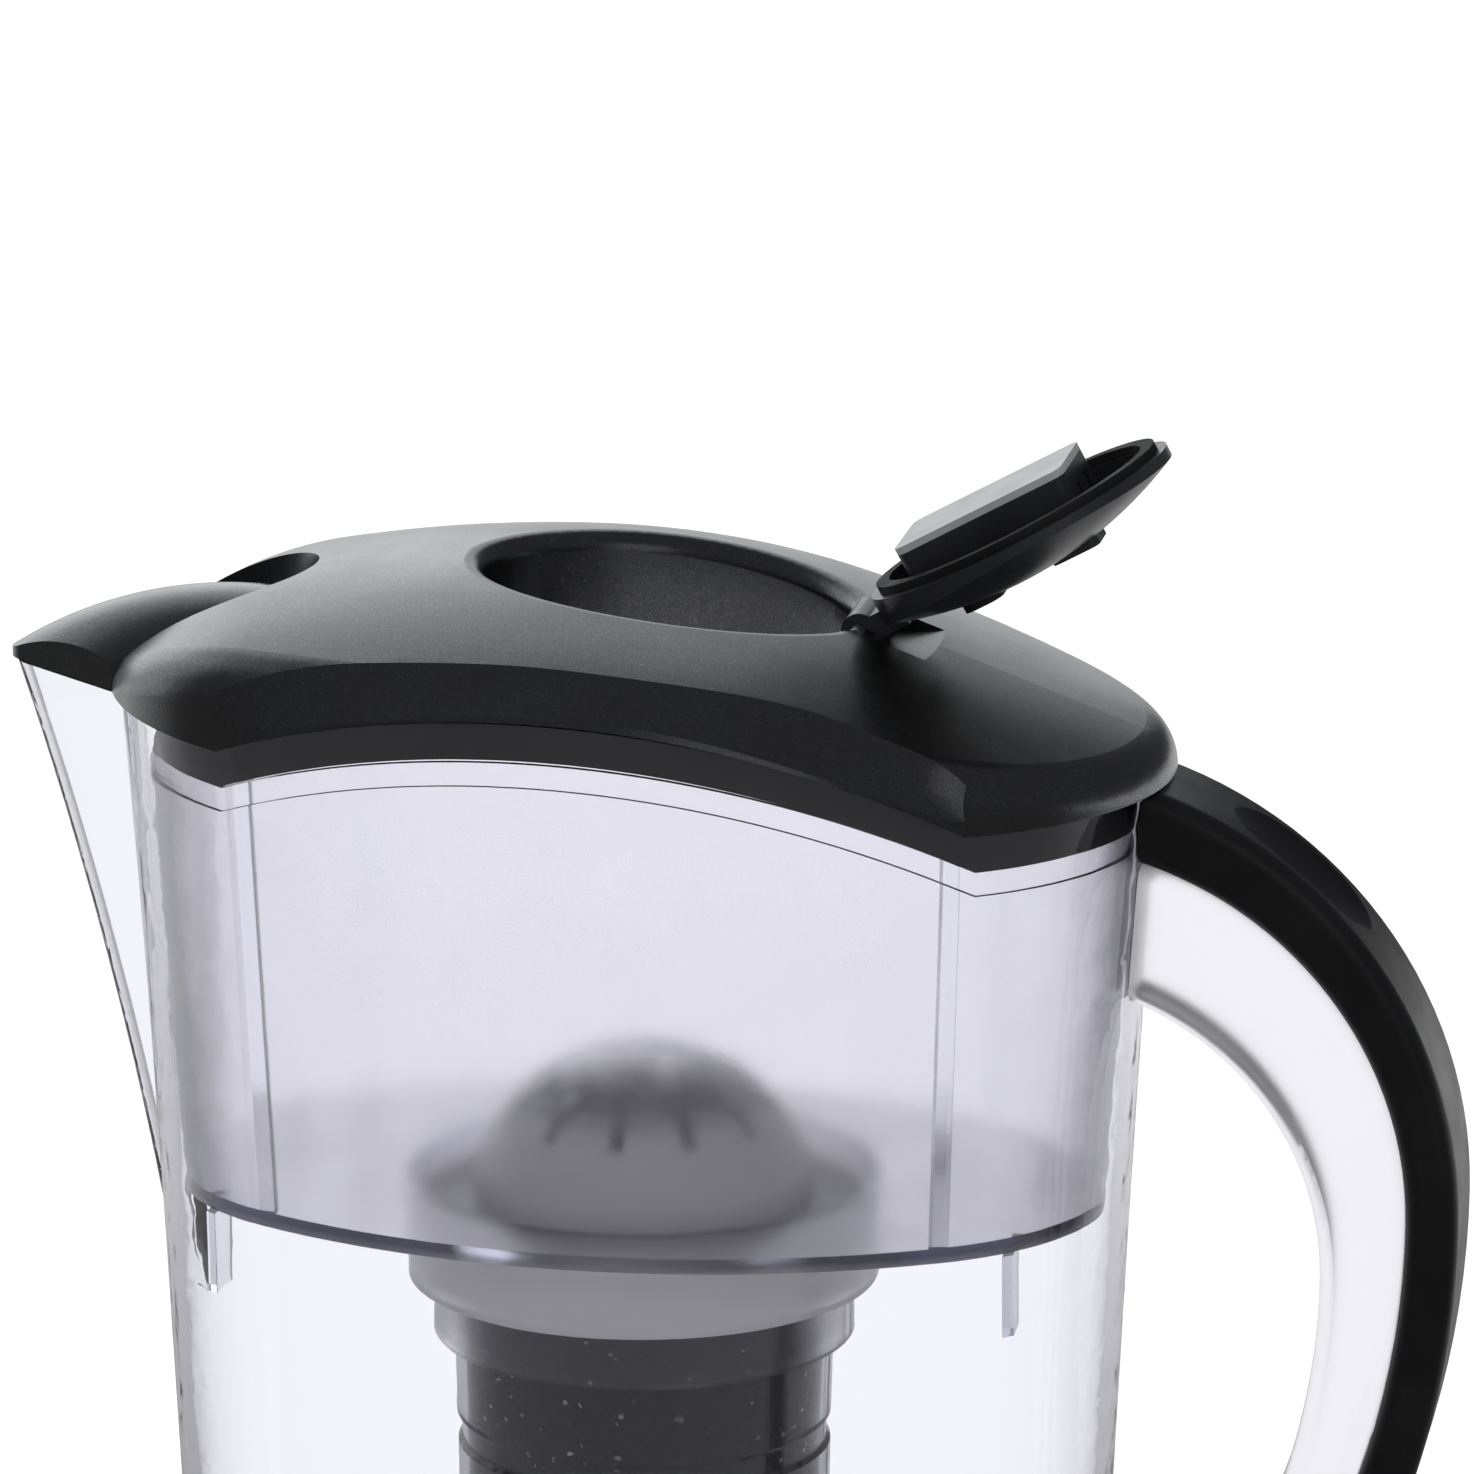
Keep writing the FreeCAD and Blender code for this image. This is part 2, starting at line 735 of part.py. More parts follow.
def make_cartridge():
    level = cartridge_levels()
    wall, top, foot = size("case_wall"), size("case_radius"), size("case_foot_radius")
    head = size("case_head_radius")

    def side(height):
        share = (height - level["foot"]) / size("case_length")
        return foot + (top - foot) * share

    high = level["neck"] - size("groove_drop")
    low = high - size("groove_width")
    depth = size("groove_depth")
    case = turned("cartridge_case", [
        (head, level["head"]), (head, level["neck"]), (top, level["neck"]), (side(high), high),
        (side(high) - depth, high - depth), (side(low) - depth, low + depth), (side(low), low),
        (foot, level["foot"]), (foot - wall, level["foot"]), (top - wall, level["neck"]),
        (top - wall, level["head"])])
    seal_out = head - size("fit_gap")
    seal = ring("neck_seal", seal_out - size("seal_width"), seal_out, level["seat"], level["neck"])
    cap_top = level["head"] + size("cap_height")
    zero = as_dim(0.0)
    dome, rise, skin = size("dome_radius"), size("dome_rise"), size("dome_wall")
    spring = cap_top + size("dome_side")
    inner, inner_rise = dome - skin, rise - skin
    cap = turned("cartridge_cap", [
        (inner, level["head"]), (head, level["head"]), (head, cap_top), (dome, cap_top), (dome, spring),
        (zero, spring + rise), (zero, spring + inner_rise), (inner, spring)],
        {4: ((dome * dome + rise * rise) / (2 * rise), 1),
         6: ((inner * inner + inner_rise * inner_rise) / (2 * inner_rise), -1)})
    slotted(cap, "cap_slots", spring + rise, rise + size("dome_side"))
    gap, screen = size("fit_gap"), size("screen_height")
    bore = top - wall - gap
    foot_bore = foot - wall - gap
    inlet = ring("inlet_screen", zero, bore, level["head"] - screen, level["head"])
    outlet = ring("outlet_screen", zero, foot_bore, level["foot"], level["foot"] + screen)
    media = turned("filter_media", [
        (zero, level["foot"] + screen), (foot_bore, level["foot"] + screen), (bore, level["neck"]),
        (bore, level["head"] - screen), (zero, level["head"] - screen)])
    base = ring("cartridge_base", zero, foot, level["foot"] - size("cap_height"), level["foot"])
    slotted(base, "base_slots", level["foot"], size("cap_height") * 2)
    return [seal, case, cap, inlet, media, outlet, base]


# Lid


def rim_height(place):
    """Height of the jug's rim along its side, at a distance along the jug."""
    corner = rim_corner()[0]
    spout, handle, radius = rim_spout(), size("rim_height"), size("rim_arch_radius")
    fall = (spout - handle) / 2
    half = root(corner * corner + fall * fall)
    drop = root(radius * radius - half * half)
    across = place + drop * fall / half
    return (spout + handle) / 2 - drop * corner / half + root(radius * radius - across * across)


def rim_side(place):
    """Half width of the rim outline at a distance along the jug."""
    side = rim_arcs()[0]
    return root(side * side - place * place) - side + size("rim_half_width")


def crown_profile(body, name, inset):
    """Side view of everything above the lid's dome, the dome drawn inset; returns the sketch."""
    sketch = new_sketch(body, name, "XZ_Plane")
    place, height = size("crown_place"), crown_level()
    spout, handle, shoulder = size("crown_spout_radius"), size("crown_handle_radius"), size("shoulder_radius")
    lean = (size("shoulder_place") - place) / spout
    rise = root(1 - lean * lean)
    shoulder_x = place + (spout - shoulder) * lean
    shoulder_z = height - spout + (spout - shoulder) * rise
    end_lean = (size("shoulder_end") - shoulder_x) / shoulder
    end_rise = root(1 - end_lean * end_lean)
    slope_lean = (size("slope_place") - place) / handle
    slope_rise = root(1 - slope_lean * slope_lean)
    spout, handle, shoulder = spout - inset, handle - inset, shoulder - inset
    foot = (shoulder_x + shoulder * end_lean, shoulder_z + shoulder * end_rise)
    join = (place + spout * lean, height - size("crown_spout_radius") + spout * rise)
    fall = (place + handle * slope_lean, height - size("crown_handle_radius") + handle * slope_rise)
    far = size("rim_half_length") + 20
    end = (far, fall[1] - (far - fall[0]) * slope_lean / slope_rise)
    limit = height + 60
    corners = [foot, join, (place, height - inset), fall, end, (far, limit), (foot[0], limit)]
    outline(sketch, corners, {0: (shoulder, -1), 1: (spout, -1), 2: (handle, -1)})
    return sketch


def barrel_cut(body, name, sketch, height):
    """Cut a side view round an axis that runs along the jug at a height."""
    start, end = FreeCAD.Vector(-50, height.value, 0), FreeCAD.Vector(50, height.value, 0)
    axis = sketch.addGeometry(Part.LineSegment(start, end), True)
    for point, across in ((1, -50.0), (2, 50.0)):
        drive(sketch, "DistanceX", (-1, 1, axis, point), as_dim(across))
        drive(sketch, "DistanceY", (-1, 1, axis, point), height)
    feature = body.newObject("PartDesign::Groove", name)
    feature.Profile = sketch
    feature.ReferenceAxis = (sketch, ["Axis0"])
    feature.Angle = 360.0
    return feature


def facet_cut(body, word, inset):
    """Cut the sloping crescent along each side of the lid."""
    corner = rim_corner()[0]
    slopes = [(-1.0, "facet_spout_end_slope"), (-0.5, "facet_spout_slope"), (0.0, "facet_slope"),
              (0.5, "facet_handle_slope"), (1.0, "facet_handle_end_slope")]
    limit = crown_level() + 40
    far = size("rim_half_width") + 20
    top_edge = size("rim_half_width") - size("facet_width")
    for hand, side in (("front", -1), ("back", 1)):
        sections = []
        for number, (share, slope) in enumerate(slopes):
            place = corner * share
            sketch = new_sketch(body, "%s_%s_%d" % (word, hand, number), "YZ_Plane", place)
            low = rim_height(place) + size("facet_lift") - inset
            high = low + size(slope) * (rim_side(place) - top_edge)
            edge = (top_edge - inset) * side
            relief = size("facet_end_relief") if abs(share) == 1.0 else as_dim(0.0)
            foot = (rim_side(place) - inset + relief) * side
            out = far * side
            outline(sketch, [(foot, low), (edge, high), (edge, limit), (out, limit), (out, low)])
            sections.append(sketch)
        loft(body, "%s_%s" % (word, hand), sections, cut=True)


def lid_form(label, inset):
    """The lid as a solid, drawn inset inside its outside."""
    body = new_body(label)
    low = size("rim_height") - 20
    plan = rim_oval(body, label + "_plan", inset, low)
    pad(body, plan, crown_level() - low + 10)
    profile = crown_profile(body, label + "_crown", inset)
    barrel_cut(body, label + "_dome", profile, crown_level() - size("crown_cross_radius"))
    round_edges(body, label + "_edge", size("lid_edge_round") - inset,
                lambda edge: edge.BoundBox.XLength > 0.5 and edge.BoundBox.ZMin > low.value + 5)
    facet_cut(body, label + "_facet", inset)
    return body


def well_plan(body, name, height, growth):
    sketch = new_sketch(body, name, "XY_Plane", height)
    radius = size("well_end_radius") + growth
    oval(sketch, size("well_half_length") + growth, size("well_half_width") + growth, radius,
         middle=size("well_place"))
    return sketch


def notch_plan(body, name, growth):
    """U-shaped plan of the spout notch, open towards the spout."""
    sketch = new_sketch(body, name, "XY_Plane", crown_level() + 20)
    half = size("notch_half_width") + growth
    centre = size("notch_centre")
    out = size("rim_half_length") + 20
    corners = [(-out, -half), (centre, -half), (centre + half, as_dim(0.0)), (centre, half), (-out, half)]
    outline(sketch, corners, {1: (half, 1), 2: (half, 1)})
    return sketch


def side_bore(body, name, across, up, radius, length):
    """Round hole across the jug, through both sides of its middle plane."""
    sketch = new_sketch(body, name, "XZ_Plane")
    disc(sketch, radius, across, up)
    return pocket(body, sketch, length, both_ways=True)


def box_cut(body, name, height, left, right, half_width):
    """Cut everything above a height inside a rectangle of the plan."""
    sketch = new_sketch(body, name, "XY_Plane", height)
    box_outline(sketch, left, right, -half_width, half_width)
    return pocket(body, sketch, WIDE, reverse=True)


def make_lid():
    zero = as_dim(0.0)
    outside = lid_form("lid_outside", zero)
    hole = well_plan(outside, "well_hole", crown_level() + 20, zero)
    pocket(outside, hole, WIDE)
    round_edges(outside, "well_lip", size("well_lip_round"),
                lambda edge: edge.BoundBox.ZMin > crown_level().value - size("well_ring_depth").value
                and abs(edge.CenterOfMass.x - size("well_place").value) < size("well_half_length").value + 1
                and abs(edge.CenterOfMass.y) < size("well_half_width").value + 1
                and edge.BoundBox.XLength + edge.BoundBox.YLength > 1 and on_well(edge))
    pocket(outside, notch_plan(outside, "notch_hole", zero), WIDE)
    pocket(outside, rim_profile(outside, "lid_rest", size("seat_gap"), False), WIDE, both_ways=True)
    well_foot = crown_level() - size("well_depth")
    well_ring = well_plan(outside, "well_ring", well_foot, size("well_wall"))
    oval(well_ring, size("well_half_length"), size("well_half_width"), size("well_end_radius"),
         middle=size("well_place"))
    pad(outside, well_ring, size("well_depth") - size("well_ring_depth"))
    hinge = size("hinge_place")
    box_cut(outside, "hinge_slot", crown_level() - size("hinge_slot_depth"), size("well_place"),
            hinge + size("knuckle_radius") + 2 * size("slide_gap"),
            size("knuckle_half_length") + 2 * size("slide_gap"))
    box_cut(outside, "heel_recess", crown_level() - size("heel_depth"), size("heel_start"), size("heel_end"),
            size("heel_half_width"))
    side_bore(outside, "flap_pin_bore", hinge, hinge_level(), size("hinge_pin_radius") + size("pin_gap"),
              2 * (size("hinge_pin_half_length") + size("slide_gap")))
    side_bore(outside, "cover_pin_bore", size("cover_hinge_place"), cover_hinge_level(),
              size("cover_pin_radius") + size("pin_gap"),
              2 * (size("cover_pin_half_length") + size("slide_gap")))
    hollow = lid_form("lid_hollow", size("lid_wall"))
    column = well_plan(hollow, "well_column", well_foot, size("well_wall"))
    pocket(hollow, column, WIDE, reverse=True)
    pocket(hollow, notch_plan(hollow, "notch_column", size("notch_wall")), WIDE)
    blocks = [("hinge", hinge, well_foot),
              ("cover", size("cover_hinge_place"), rim_spout() + size("cover_block_rise"))]
    for word, place, foot in blocks:
        half = size(word + "_block_half_length")
        box_cut(hollow, word + "_block", foot, place - half, place + half, size(word + "_block_half_width"))
    return cut_away("lid_shell", outside, hollow), make_skirt()


def on_well(edge):
    """True for an edge that lies on the wall of the refill well."""
    middle = edge.valueAt((edge.FirstParameter + edge.LastParameter) / 2)
    across = abs(middle.x - size("well_place").value) / size("well_half_length").value
    return across ** 2 + (middle.y / size("well_half_width").value) ** 2 > 0.9


def make_skirt():
    """Band hanging inside the jug's rim, under the lid's sides."""
    band = new_body("lid_skirt")
    low = size("rim_height") - 20
    height = crown_level() - low
    pad(band, rim_oval(band, "skirt_outside", size("skirt_outer_inset"), low), height)
    pocket(band, rim_oval(band, "skirt_inside", size("skirt_inner_inset"), low), height, reverse=True)
    pocket(band, rim_profile(band, "skirt_top", size("seat_gap"), True), WIDE, both_ways=True)
    pocket(band, rim_profile(band, "skirt_foot", -size("skirt_depth"), False), WIDE, both_ways=True)
    box_cut(band, "skirt_gap", low, -size("rim_half_length"), size("notch_centre") + 10,
            size("skirt_gap_half_width"))
    return band


# Refill flap, in its own frame: hinge axis at the origin, length along x, inner side up


def flap_piece(label):
    body = new_body(label)
    body.Placement = FreeCAD.Placement(
        FreeCAD.Vector(size("hinge_place").value, 0, hinge_level().value),
        FreeCAD.Rotation(FreeCAD.Vector(0, 1, 0), -size("flap_open_angle").value))
    bind(body, "Placement.Base.x", size("hinge_place"))
    bind(body, "Placement.Base.z", hinge_level())
    return body


def flap_plan(body, name, inset, height):
    sketch = new_sketch(body, name, "XY_Plane", height)
    oval(sketch, size("flap_half_length"), size("flap_half_width"), size("flap_end_radius"), inset,
         middle=size("flap_centre"))
    return sketch


def flap_skin(place):
    """Height of the flap's outer face above its hinge axis, at a distance from the axis."""
    radius = size("flap_crown_radius")
    across = place - size("flap_crown_place")
    return radius - size("flap_crown_depth") - root(radius * radius - across * across)


def plan_pad(body, name, height, thickness, middle, length, width, radius):
    """Rectangular pad with round corners, from a height upwards."""
    sketch = new_sketch(body, name, "XY_Plane", height)
    rounded_outline(sketch, middle, length, width, radius)
    return pad(body, sketch, thickness)


def plan_cut(body, name, height, depth, middle, length, width, radius, up=False):
    """Rectangular cut with round corners, from a height downwards or upwards."""
    sketch = new_sketch(body, name, "XY_Plane", height)
    rounded_outline(sketch, middle, length, width, radius)
    return pocket(body, sketch, depth, reverse=up)


def make_flap():
    body = flap_piece("refill_flap")
    rim = size("flap_rim_height")
    deep = size("flap_crown_depth") + 3
    pad(body, flap_plan(body, "flap_plan", as_dim(0.0), -deep), rim + deep)
    section = new_sketch(body, "flap_crown", "XZ_Plane")
    ends = [as_dim(-10.0), size("flap_centre") + size("flap_half_length") + 8]
    low = -deep - 10
    corners = [(ends[0], flap_skin(ends[0])), (ends[1], flap_skin(ends[1])), (ends[1], low), (ends[0], low)]
    outline(section, corners, {0: (size("flap_crown_radius"), 1)})
    barrel_cut(body, "flap_outer_face", section, size("flap_cross_radius") - size("flap_crown_depth"))
    pocket(body, flap_plan(body, "flap_dish", size("flap_rim_width"), rim), size("flap_rim_depth"))
    knuckle = new_sketch(body, "flap_knuckle", "XZ_Plane")
    disc(knuckle, size("knuckle_radius"))
    pad(body, knuckle, 2 * size("knuckle_half_length"), both_ways=True)
    neck = new_sketch(body, "flap_neck", "XZ_Plane")
    box_outline(neck, as_dim(0.0), size("neck_length"), -size("neck_drop"), size("neck_rise"))
    pad(body, neck, 2 * size("knuckle_half_length"), both_ways=True)
    side_bore(body, "knuckle_bore", 0.0, 0.0, size("hinge_pin_radius") + size("pin_gap"),
              4 * size("knuckle_half_length"))
    fit = size("fit_gap")
    floor = size("timer_floor")
    plan_cut(body, "timer_seat", rim, rim - floor, size("timer_centre"), size("timer_length") + 2 * fit,
             size("timer_width") + 2 * fit, size("timer_round") + fit)
    gap, flange = size("slide_gap"), size("button_flange")
    length, width = size("button_length") + 2 * gap, size("button_width") + 2 * gap
    plan_cut(body, "button_hole", floor, deep, size("button_place"), length, width,
             size("button_round") + gap)
    plan_cut(body, "button_recess", floor, floor - size("button_seat"), size("button_place"),
             length + 2 * flange, width + 2 * flange, size("button_round") + gap + flange)
    sill = size("window_sill")
    plan_cut(body, "window_view", floor, deep, size("window_place"), size("window_length") - 2 * sill,
             size("window_width") - 2 * sill, size("window_round"))
    window_floor = flap_skin(size("window_place")) - size("window_proud") + size("window_height")
    plan_cut(body, "window_seat", window_floor, deep, size("window_place"), size("window_length") + 2 * fit,
             size("window_width") + 2 * fit, size("window_round") + fit)
    return body


def make_flap_trim():
    """The pieces carried by the flap."""
    rim = size("flap_rim_height")
    seal = flap_piece("flap_seal")
    pad(seal, flap_plan(seal, "seal_outside", size("flap_seal_inset"), rim), size("flap_seal_height"))
    pocket(seal, flap_plan(seal, "seal_inside", size("flap_seal_inset") + size("flap_seal_width"), rim),
           size("flap_seal_height"), reverse=True)
    middle, length, width = size("timer_centre"), size("timer_length"), size("timer_width")
    corner = size("timer_round")
    floor = size("timer_floor")
    board_top = floor + size("board_height")
    board = flap_piece("timer_board")
    plan_pad(board, "board_plan", floor, size("board_height"), middle, length, width, corner)
    lid_low = size("timer_top") - size("battery_cover_height")
    wall = size("timer_wall")
    housing = flap_piece("timer_housing")
    plan_pad(housing, "housing_plan", board_top, lid_low - board_top, middle, length, width, corner)
    plan_cut(housing, "housing_inside", board_top, lid_low - board_top, middle, length - 2 * wall,
             width - 2 * wall, corner - wall / 2, up=True)
    vents = new_sketch(housing, "housing_vents", "YZ_Plane", middle + length / 2)
    for side in (-1, 1):
        place = size("vent_place") * side
        box_outline(vents, place - size("vent_width") / 2, place + size("vent_width") / 2,
                    lid_low - 2 * size("vent_height"), lid_low - size("vent_height"))
    pocket(housing, vents, wall * 2)
    cover = flap_piece("battery_cover")
    plan_pad(cover, "battery_cover_plan", lid_low, size("battery_cover_height"), middle, length, width,
             corner)
    cell = flap_piece("coin_cell")
    cell_plan = new_sketch(cell, "cell_plan", "XY_Plane", board_top)
    disc(cell_plan, size("cell_radius"), middle)
    pad(cell, cell_plan, size("cell_height"))
    window = flap_piece("display_window")
    window_low = flap_skin(size("window_place")) - size("window_proud")
    plan_pad(window, "window_plan", window_low, size("window_height"), size("window_place"),
             size("window_length"), size("window_width"), size("window_round"))
    button = flap_piece("timer_button")
    place = size("button_place")
    seat = size("button_seat")
    outer = flap_skin(place) - size("button_proud")
    plan_pad(button, "button_stem", outer, seat - outer, place, size("button_length"), size("button_width"),
             size("button_round"))
    flange = size("button_flange")
    plan_pad(button, "button_foot", seat, size("button_flange_height"), place,
             size("button_length") + 2 * flange, size("button_width") + 2 * flange,
             size("button_round") + flange)
    pin = flap_piece("flap_hinge_pin")
    pin_end = new_sketch(pin, "flap_pin_end", "XZ_Plane")
    disc(pin_end, size("hinge_pin_radius"))
    pad(pin, pin_end, 2 * size("hinge_pin_half_length"), both_ways=True)
    return [seal, housing, cover, board, cell, window, button, pin]


# Spout cover


def cover_form(label, inset):
    """The spout cover as a solid, drawn inset inside its outside."""
    body = new_body(label)
    low = size("rim_height")
    plan = new_sketch(body, label + "_plan", "XY_Plane", low)
    half, rear = size("cover_half_width") - inset, size("cover_rear_centre")
    spread = size("spout_spread")
    hypotenuse = root(1 + spread * spread)
    radius = size("cover_nose_radius") - inset
    nose = size("cover_tip_reach") - size("cover_nose_radius") + radius * spread / hypotenuse
    nose_side = radius / hypotenuse
    shoulder = nose - (half - nose_side) / spread
    corners = [(rear, -half), (rear + half, as_dim(0.0)), (rear, half), (-shoulder, half),
               (-nose, nose_side), (-nose, -nose_side), (-shoulder, -half)]
    outline(plan, corners, {0: (half, 1), 1: (half, 1), 4: (radius, 1)})
    crown = size("cover_crown_radius")
    top = rim_spout() + size("cover_rise")
    pad(body, plan, top - low)
    section = new_sketch(body, label + "_crown", "XZ_Plane")
    place = size("cover_crown_place")

    def level(across):
        return top - crown + root((crown - inset) * (crown - inset) - (across - place) * (across - place))

    ends = [-size("cover_tip_reach") - 5, place + 20]
    limit = top + 30
    corners = [(ends[0], level(ends[0])), (ends[1], level(ends[1])), (ends[1], limit), (ends[0], limit)]
    outline(section, corners, {0: (crown - inset, -1)})
    barrel_cut(body, label + "_dome", section, top - size("cover_cross_radius"))
    return body


def make_cover():
    outside = cover_form("cover_outside", as_dim(0.0))
    bore = size("cover_pin_radius") + size("pin_gap")
    across, up = size("cover_hinge_place"), cover_hinge_level()
    side_bore(outside, "cover_bore", across, up, bore, WIDE)
    pocket(outside, rim_profile(outside, "cover_rest", size("seat_gap"), False), WIDE, both_ways=True)
    hollow = cover_form("cover_hollow", size("cover_wall"))
    side_bore(hollow, "cover_boss", across, up, size("cover_boss_radius"), WIDE)
    pin = new_body("spout_hinge_pin")
    pin_end = new_sketch(pin, "cover_pin_end", "XZ_Plane")
    disc(pin_end, size("cover_pin_radius"), across, up)
    pad(pin, pin_end, 2 * size("cover_pin_half_length"), both_ways=True)
    return cut_away("spout_cover", outside, hollow), pin


pieces = [make_jug()]
pieces += make_handle()
pieces.append(make_hopper())
pieces += make_cartridge()
pieces += make_lid()
pieces.append(make_flap())
pieces += make_flap_trim()
pieces += make_cover()
doc.recompute()

for item in doc.Objects:
    if "Invalid" in item.State or "Error" in item.State:
        raise RuntimeError("%s did not build" % item.Label)
os.makedirs("parts", exist_ok=True)
for piece in pieces:
    shape = piece.Shape
    if shape.isNull() or not shape.isValid() or len(shape.Solids) != 1:
        raise RuntimeError("%s is not one sound solid" % piece.Label)
    shape.exportStep("parts/%s.step" % piece.Label)
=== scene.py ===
import bpy
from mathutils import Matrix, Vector


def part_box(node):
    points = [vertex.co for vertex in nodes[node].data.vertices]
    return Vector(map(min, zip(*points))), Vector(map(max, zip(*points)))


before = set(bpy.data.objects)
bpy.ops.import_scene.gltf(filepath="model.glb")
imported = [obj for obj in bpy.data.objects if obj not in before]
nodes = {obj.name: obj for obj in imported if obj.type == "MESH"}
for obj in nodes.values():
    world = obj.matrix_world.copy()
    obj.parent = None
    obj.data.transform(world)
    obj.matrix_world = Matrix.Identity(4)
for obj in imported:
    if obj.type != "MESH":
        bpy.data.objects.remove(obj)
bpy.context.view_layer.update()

# Clear plastic
PLASTIC_IOR = 1.49
FROST_SCALE = 1200.0  # grains to the metre
FROST_DEPTH = 0.00001  # metres

# Moulded plastic, in grains to the metre and metres
GRAIN_SCALE = 2200.0
COARSE_GRAIN_SCALE = 1800.0
GRAIN_DEPTH = 0.00001

# Milky heights of the hopper, above its lowest point, and of the cap, below its highest, in metres
COLLAR_TOP = 0.0099
SOCKET_TOP = 0.0227
CAP_CLEAR_DEPTH = 0.01

# Background
WHITE = 1.2  # strength of the white that the camera sees, a little over one for what clear plastic holds back
MIRROR_LOSS = 0.72  # share of that white which mirrored rays lose
FLOOR_WHITE = 0.88  # share of the floor that shows as that white; the rest keeps the shadow
FLOOR_HALF = 6.0  # metres
BRIGHT_SIDE = (-0.9976, 0.07, 0.0)  # the way from the edge of the bright side into it

# Camera, in metres and, for the lens, millimetres
CAMERA_PLACE = (0.2465, -1.2683, 0.5397)
CAMERA_TARGET = (0.0157, 0.0, 0.2126)
SENSOR_WIDTH = 36.0
FOCAL_LENGTH = 198.4


# Node helpers


def new_material(name):
    """A material and its principled shader."""
    made = bpy.data.materials.new(name)
    made.use_nodes = True
    return made, made.node_tree.nodes["Principled BSDF"]


def fill(node, **sockets):
    """Set values on a node's sockets, with an underscore for each space in a socket's name."""
    for key, value in sockets.items():
        node.inputs[key.replace("_", " ")].default_value = value


def add(made, kind, settings=None, **sockets):
    """A shader node with plain settings and socket values."""
    node = made.node_tree.nodes.new(kind)
    for key, value in (settings or {}).items():
        setattr(node, key, value)
    fill(node, **sockets)
    return node


def link(made, source, target):
    """Join a node's output to another node's input."""
    made.node_tree.links.new(source, target)


def opaque(colour):
    """A colour with full opacity."""
    return (*colour, 1.0)


def noise(made, scale, detail=4.0, stretch=(1.0, 1.0, 1.0)):
    """Noise in the object's own metres."""
    place = add(made, "ShaderNodeTexCoord")
    mapping = add(made, "ShaderNodeMapping", Scale=stretch)
    link(made, place.outputs["Object"], mapping.inputs["Vector"])
    texture = add(made, "ShaderNodeTexNoise", Scale=scale, Detail=detail)
    link(made, mapping.outputs["Vector"], texture.inputs["Vector"])
    return texture.outputs["Fac"]


def cells(made, scale, output="Color"):
    """Small random cells in the object's own metres."""
    place = add(made, "ShaderNodeTexCoord")
    texture = add(made, "ShaderNodeTexVoronoi", Scale=scale)
    link(made, place.outputs["Object"], texture.inputs["Vector"])
    return texture.outputs[output]


def axes(made, source):
    """The X, Y and Z outputs of a vector."""
    split = add(made, "ShaderNodeSeparateXYZ")
    link(made, source, split.inputs["Vector"])
    return split.outputs


def spread(made, source, low, high, start=0.3, end=0.7):
    """Map a pattern between start and end to values between low and high."""
    ranged = add(made, "ShaderNodeMapRange", From_Min=start, From_Max=end, To_Min=low, To_Max=high)
    link(made, source, ranged.inputs["Value"])
    return ranged.outputs["Result"]


def shades(made, source, stops):
    """Map a pattern to colours, each stop a place and a colour."""
    ramp = add(made, "ShaderNodeValToRGB")
    while len(ramp.color_ramp.elements) < len(stops):
        ramp.color_ramp.elements.new(1.0)
    for element, (place, colour) in zip(ramp.color_ramp.elements, stops):
        element.position = place
        element.color = opaque(colour)
    link(made, source, ramp.inputs["Fac"])
    return ramp.outputs["Color"]


def math_node(made, operation, first, second):
    """One sum of two values, each a number or another node's output, kept between 0 and 1."""
    node = add(made, "ShaderNodeMath", {"operation": operation, "use_clamp": True})
    for socket, value in zip(node.inputs, (first, second)):
        if isinstance(value, float):
            socket.default_value = value
        else:
            link(made, value, socket)
    return node.outputs[0]


def paint(made, shader, source, stops):
    """Let the colour follow a pattern."""
    link(made, shades(made, source, stops), shader.inputs["Base Color"])


def gloss(made, shader, source, rough):
    """Let the roughness follow a pattern, between two values."""
    link(made, spread(made, source, *rough), shader.inputs["Roughness"])


def bump(made, shader, source, depth, strength=1.0):
    """Raise a pattern by a depth in metres."""
    node = add(made, "ShaderNodeBump", Strength=strength, Distance=depth)
    link(made, source, node.inputs["Height"])
    link(made, node.outputs["Normal"], shader.inputs["Normal"])


def dress(made, *names):
    """Give nodes a material."""
    for name in names:
        nodes[name].data.materials.clear()
        nodes[name].data.materials.append(made)


# Materials


def clear_plastic(name, tint, rough, absorb, density, ripple=FROST_SCALE, depth=FROST_DEPTH):
    """Clear or frosted plastic that colours where the light runs a long way through it."""
    made, shader = new_material(name)
    fill(shader, Base_Color=opaque(tint), Transmission_Weight=1.0, IOR=PLASTIC_IOR)
    gloss(made, shader, noise(made, scale=90.0, detail=3.0), rough)
    bump(made, shader, noise(made, scale=ripple, detail=2.0), depth)
    volume = add(made, "ShaderNodeVolumeAbsorption", Color=opaque(absorb), Density=density)
    link(made, volume.outputs["Volume"], made.node_tree.nodes["Material Output"].inputs["Volume"])
    return made


def milky_band(made, bottom, top, clear):
    """Let clear plastic pass only a share of the light between two heights, where it is thick and milky."""
    bottom_fade = 0.0004
    top_fade = 0.004
    place = add(made, "ShaderNodeTexCoord")
    height = axes(made, place.outputs["Object"])["Z"]
    below = spread(made, height, low=1.0, high=clear, start=bottom - bottom_fade, end=bottom)
    above = spread(made, height, low=clear, high=1.0, start=top, end=top + top_fade)
    weight = math_node(made, "MAXIMUM", below, above)
    link(made, weight, made.node_tree.nodes["Principled BSDF"].inputs["Transmission Weight"])


